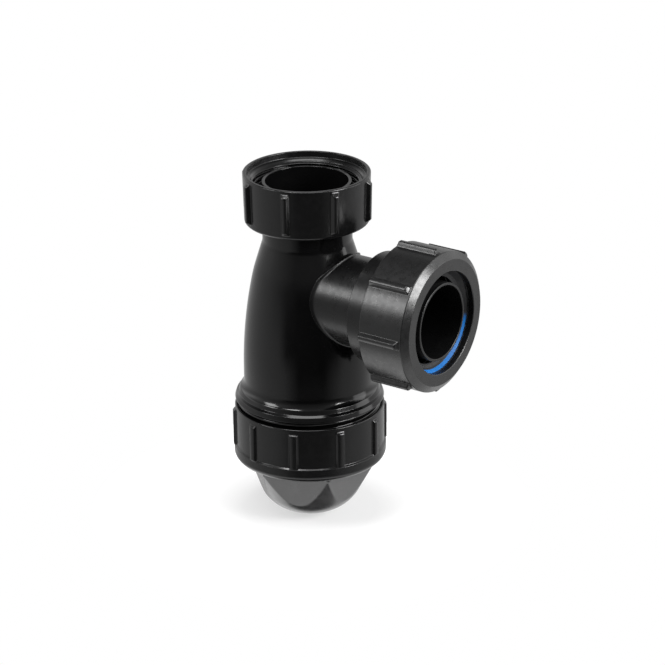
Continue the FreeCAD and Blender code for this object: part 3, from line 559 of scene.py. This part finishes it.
cup = {
    "flange": 32.0, "top": -115.4, "flangeFoot": -118.4, "side": 29.8, "bore": 27.6, "wall": 2.2,
    "cone": -124.4, "coneAngle": 28.3, "coneEnd": 22.4, "cornerArc": 19.6, "crownAngle": 71.0,
    "flats": 6, "flatDistance": 21.1, "flatMiddle": -141.4, "flatAngle": 15.8, "flatTop": -122.6,
    "turn": -8.9, "edge": 0.14, "columns": 300,
}


def cupSide(inset):
    # cone, corner arc and crown arc, all tangent, moved in by inset along the normal
    slant = math.radians(cup["coneAngle"])
    coneEndZ = cup["cone"] - (cup["side"] - cup["coneEnd"]) / math.tan(slant)
    corner = arcRun(cup["coneAngle"], cup["crownAngle"], 26)
    crown = arcRun(cup["crownAngle"], 90, 12)[1:]
    cornerRadii = cup["coneEnd"] - cup["cornerArc"] * (math.cos(corner[0]) - np.cos(corner))
    cornerHeights = coneEndZ - cup["cornerArc"] * (np.sin(corner) - math.sin(corner[0]))
    crownArc = cornerRadii[-1] / math.cos(corner[-1])
    crownHeights = cornerHeights[-1] - crownArc * (np.sin(crown) - math.sin(corner[-1]))
    turn = np.r_[corner, crown]
    radii = np.r_[cornerRadii, crownArc * np.cos(crown)] - inset * np.cos(turn)
    heights = np.r_[cornerHeights, crownHeights] + inset * np.sin(turn)
    line = np.stack([np.maximum(radii, 0), heights], 1)
    line[-1, 0] = 0
    start = np.array([[cup["side"] - inset, cup["cone"] + inset * math.tan(slant / 2)]])
    steps = np.linspace(0, 1, 34)[:-1, None]
    return np.concatenate([start + (line[:1] - start) * steps, line])


def softSmaller(a, b, edge):
    # the smaller of two radii, with the corner between them eased over the edge's size
    low, gap = np.minimum(a, b), np.abs(a - b)
    return low - edge * np.log1p(np.exp(-gap / edge)) + edge * math.log(2) * np.exp(-gap / edge)


def withFlats(line, angles, inset):
    # a flat's plane stands at flatDistance from the axis and leans out as it rises
    radii, heights = line[:, :1], line[:, 1:]
    gap = fullTurn / cup["flats"]
    off = (angles - math.radians(cup["turn"]) + gap / 2) % gap - gap / 2
    lean = math.radians(cup["flatAngle"])
    plane = cup["flatDistance"] - inset / math.cos(lean) + (heights - cup["flatMiddle"]) * math.tan(lean)
    cut = softSmaller(radii, plane / np.cos(off), cup["edge"])
    return upright(np.where(heights < cup["flatTop"] + inset + 1e-6, cut, radii), heights, angles)


cupTurn = np.linspace(0, fullTurn, cup["columns"], endpoint=False)[None]
rim = softProfile([
    (cup["side"] - cup["wall"], cup["top"], 0.2, 0.8), (cup["flange"], cup["top"], 0.3, 0.8),
    (cup["flange"], cup["flangeFoot"], 0.3, 0.8), (cup["side"], cup["flangeFoot"], 0.2, 0.8),
    (cup["side"], cup["flatTop"] + 0.001, 0, 1)])
cut = np.argmin(np.abs(rim[:, 1] - cup["flatTop"]) + np.abs(rim[:, 0] - cup["side"]))
sideRows = [cup["flatTop"] - 0.01, cup["flatTop"] - 0.4, cup["cone"] + 0.8]
outside = np.concatenate([rim[:cut + 1], [[cup["side"], z] for z in sideRows], cupSide(0)])
flatTopIn = cup["flatTop"] + cup["wall"]
boreRows = [cup["flatTop"], cup["flatTop"] + 1.2, flatTopIn - 0.01, flatTopIn + 0.02,
            cup["flangeFoot"] - 0.1, cup["top"] - 0.3]
inside = cupSide(cup["wall"])[::-1]
inside = inside[inside[:, 1] < cup["cone"] + cup["wall"]]
inside = np.concatenate([inside, [[cup["bore"], z] for z in boreRows]])
cupGrid = np.concatenate([withFlats(outside, cupTurn, 0), withFlats(inside, cupTurn, cup["wall"])])
makePiece("trapCup", cupGrid, gridFaces(len(cupGrid), cup["columns"]),
          cupPlastic, "base_cup", "cup_plastic", "cup")
print("cup: done")

for nodeName in ("inlet_washer", "base_seal"):
    node = frame["nodes"][nodeName]
    node.data.materials.clear()
    node.data.materials.append(blackRubber)

# stage: a small pale floor, the studio round it, lamps and the camera


def rayMix(tree, kind, plain, seen):
    # one shader for rays of this kind, the plain one for all others
    ray = addNode(tree, "LightPath", {}).outputs[kind]
    return addNode(tree, "MixShader", {"Fac": ray, 1: plain, 2: seen}).outputs[0]


floorLook = {
    "radius": 0.10, "level": -0.1496, "rings": 24, "columns": 96, "matt": (0.9, 0.9, 0.9, 1),
    "seen": (0.35, 0.35, 0.35, 1), "glow": (0.58, 1.0), "glowReach": (0.030, 0.085),
}


def makeFloor(look):
    # the camera sees a darker matt, which keeps the shadow, and a glow that whitens it outwards,
    # and mirrored rays pass, so that the flats mirror the pale room below
    grid = (look["rings"], look["columns"])
    radii = np.linspace(0.0, 1.0, look["rings"])[:, None] * look["radius"]
    angles = np.linspace(0, fullTurn, look["columns"], endpoint=False)[None]
    vertices = upright(radii, np.zeros(grid), angles).reshape(-1, 3)
    mesh = bpy.data.meshes.new("floor")
    mesh.from_pydata(vertices.tolist(), [], gridFaces(*grid, closedRows=False).tolist())
    material = bpy.data.materials.new("paleFloor")
    material.use_nodes = True
    tree = material.node_tree
    tree.nodes.clear()
    matt = addNode(tree, "BsdfDiffuse", {"Color": look["matt"]}).outputs[0]
    seen = addNode(tree, "BsdfDiffuse", {"Color": look["seen"]}).outputs[0]
    passing = addNode(tree, "BsdfTransparent", {}).outputs[0]
    place = addNode(tree, "TexCoord", {}).outputs["Object"]
    fromMiddle = addNode(tree, "VectorMath", {0: place}, operation="LENGTH").outputs["Value"]
    whiten = addNode(tree, "MapRange", {
        "Value": fromMiddle, "From Min": look["glowReach"][0], "From Max": look["glowReach"][1],
        "To Min": look["glow"][0], "To Max": look["glow"][1]})
    glow = addNode(tree, "Emission", {"Strength": whiten.outputs["Result"]}).outputs[0]
    both = addNode(tree, "AddShader", {0: seen, 1: glow}).outputs[0]
    lit = rayMix(tree, "Is Glossy Ray", matt, passing)
    addNode(tree, "OutputMaterial", {"Surface": rayMix(tree, "Is Camera Ray", lit, both)})
    mesh.materials.append(material)
    floor = bpy.data.objects.new("floor", mesh)
    floor.location.z = look["level"]
    bpy.context.scene.collection.objects.link(floor)


makeFloor(floorLook)

# degrees from -Y round to the camera's side, towards +X
towardsCamera = 35.86
# the room's brightness in bands from low to high: each band's height as the Z of the direction,
# then stops of degrees from the camera's side, positive to the right, and brightness
bands = [
    (-0.93, [(-180, 0.06), (180, 0.06)]),
    (-0.88, [(-180, 1.0), (-125, 1.6), (-100, 1.6), (-70, 1.3), (60, 1.2), (120, 0.9), (180, 1.0)]),
    (-0.72, [(-180, 1.2), (-125, 1.9), (-100, 1.9), (-70, 1.6), (60, 1.5), (120, 1.0), (180, 1.2)]),
    (-0.60, [(-180, 0.8), (-60, 0.6), (-30, 0.25), (30, 0.25), (60, 0.5), (180, 0.8)]),
    (-0.34, [(-180, 0.6), (-90, 0.55), (-45, 0.45), (-27, 0.15), (-19, 0.02), (25, 0.015),
             (42, 0.25), (60, 0.5), (118, 0.6), (180, 0.6)]),
    (-0.24, [(-180, 0.6), (-90, 0.55), (-55, 0.45), (-40, 0.03), (50, 0.02), (66, 0.45),
             (125, 0.6), (180, 0.6)]),
    (0.00, [(-180, 0.5), (-110, 0.6), (-80, 0.5), (-45, 0.15), (-20, 0.03), (15, 0.03),
            (45, 0.15), (90, 0.5), (110, 0.6), (180, 0.5)]),
    (0.22, [(-180, 0.6), (-145, 1.6), (-110, 1.6), (-85, 0.6), (-30, 0.15), (30, 0.15),
            (80, 0.6), (105, 1.6), (145, 1.6), (180, 0.6)]),
    (0.45, [(-180, 0.5), (-100, 0.6), (-60, 0.7), (-20, 0.20), (20, 0.20), (60, 0.7),
            (100, 0.7), (180, 0.5)]),
    (0.75, [(-180, 0.06), (-90, 0.06), (-50, 0.3), (50, 0.3), (90, 0.4), (180, 0.06)]),
    (0.95, [(-180, 0.3), (180, 0.3)]),
]


def makeWorld():
    # each band is a ramp over the angle round the object, and bands blend with height
    world = bpy.data.worlds.new("studio")
    bpy.context.scene.world = world
    world.use_nodes = True
    tree = world.node_tree
    tree.nodes.clear()
    place = addNode(tree, "TexCoord", {}).outputs["Generated"]
    turned = addNode(tree, "Mapping", {"Vector": place, "Rotation": (0, 0, math.radians(-towardsCamera))})
    split = addNode(tree, "SeparateXYZ", {0: turned.outputs["Vector"]})
    forward = addNode(tree, "Math", {0: split.outputs["Y"], 1: -1}, operation="MULTIPLY").outputs[0]
    angle = addNode(tree, "Math", {0: split.outputs["X"], 1: forward}, operation="ARCTAN2").outputs[0]
    share = addNode(tree, "MapRange", {"Value": angle, "From Min": -math.pi, "From Max": math.pi})
    colour, lastHeight = None, None
    for height, stops in bands:
        band = addNode(tree, "ValToRGB", {"Fac": share.outputs["Result"]})
        while len(band.color_ramp.elements) < len(stops):
            band.color_ramp.elements.new(0.5)
        for stop, (degrees, value) in zip(band.color_ramp.elements, stops):
            stop.position = (degrees + 180) / 360
            stop.color = (value, value, value, 1)
        if colour is None:
            colour = band.outputs["Color"]
        else:
            rise = addNode(tree, "MapRange", {
                "Value": split.outputs["Z"], "From Min": lastHeight, "From Max": height})
            colour = addNode(tree, "Mix", {
                mixFactor: rise.outputs["Result"], mixFirst: colour, mixSecond: band.outputs["Color"]},
                data_type="RGBA").outputs[mixResult]
        lastHeight = height
    room = addNode(tree, "Background", {"Color": colour}).outputs[0]
    white = addNode(tree, "Background", {"Color": (1, 1, 1, 1)}).outputs[0]
    addNode(tree, "OutputWorld", {"Surface": rayMix(tree, "Is Camera Ray", room, white)})


makeWorld()

# lamps by degrees from the camera's side, elevation, width and height, and brightness
lampDistance = 1.0
lampAim = Vector((0, 0, -0.06))
softboxes = [
    ("topBox", 0, 76, (0.7, 0.5), 5.0),
    ("frontBox", -40, 56, (0.34, 0.16), 14.0),
    ("leftBox", -72, 31, (0.32, 0.32), 8.5),
    ("chamferBox", 60, 25, (0.48, 0.36), 20.0),
    ("rightBox", 92, 8, (0.50, 0.70), 1.6),
]
for name, azimuth, elevation, size, brightness in softboxes:
    data = bpy.data.lights.new(name, "AREA")
    data.shape = "RECTANGLE"
    data.size, data.size_y = size
    data.energy = brightness * math.pi * size[0] * size[1]
    lamp = bpy.data.objects.new(name, data)
    bpy.context.scene.collection.objects.link(lamp)
    turn = math.radians(azimuth + towardsCamera - 90)
    rise = math.radians(elevation)
    away = Vector((math.cos(turn) * math.cos(rise), math.sin(turn) * math.cos(rise), math.sin(rise)))
    lamp.location = lampAim + away * lampDistance
    lamp.rotation_euler = (-away).to_track_quat("-Z", "Y").to_euler()

camera = bpy.data.cameras.new("camera")
camera.lens = 158.05
camera.sensor_width = 36
camera.clip_start, camera.clip_end = 0.05, 20
view = bpy.data.objects.new("camera", camera)
bpy.context.scene.collection.objects.link(view)
view.location = (0.704743, -0.974997, 0.433163)
view.rotation_euler = [math.radians(v) for v in (67.557, 0.5539, 35.128)]
bpy.context.scene.camera = view
bpy.context.scene.view_settings.view_transform = "Standard"
print("stage: done")
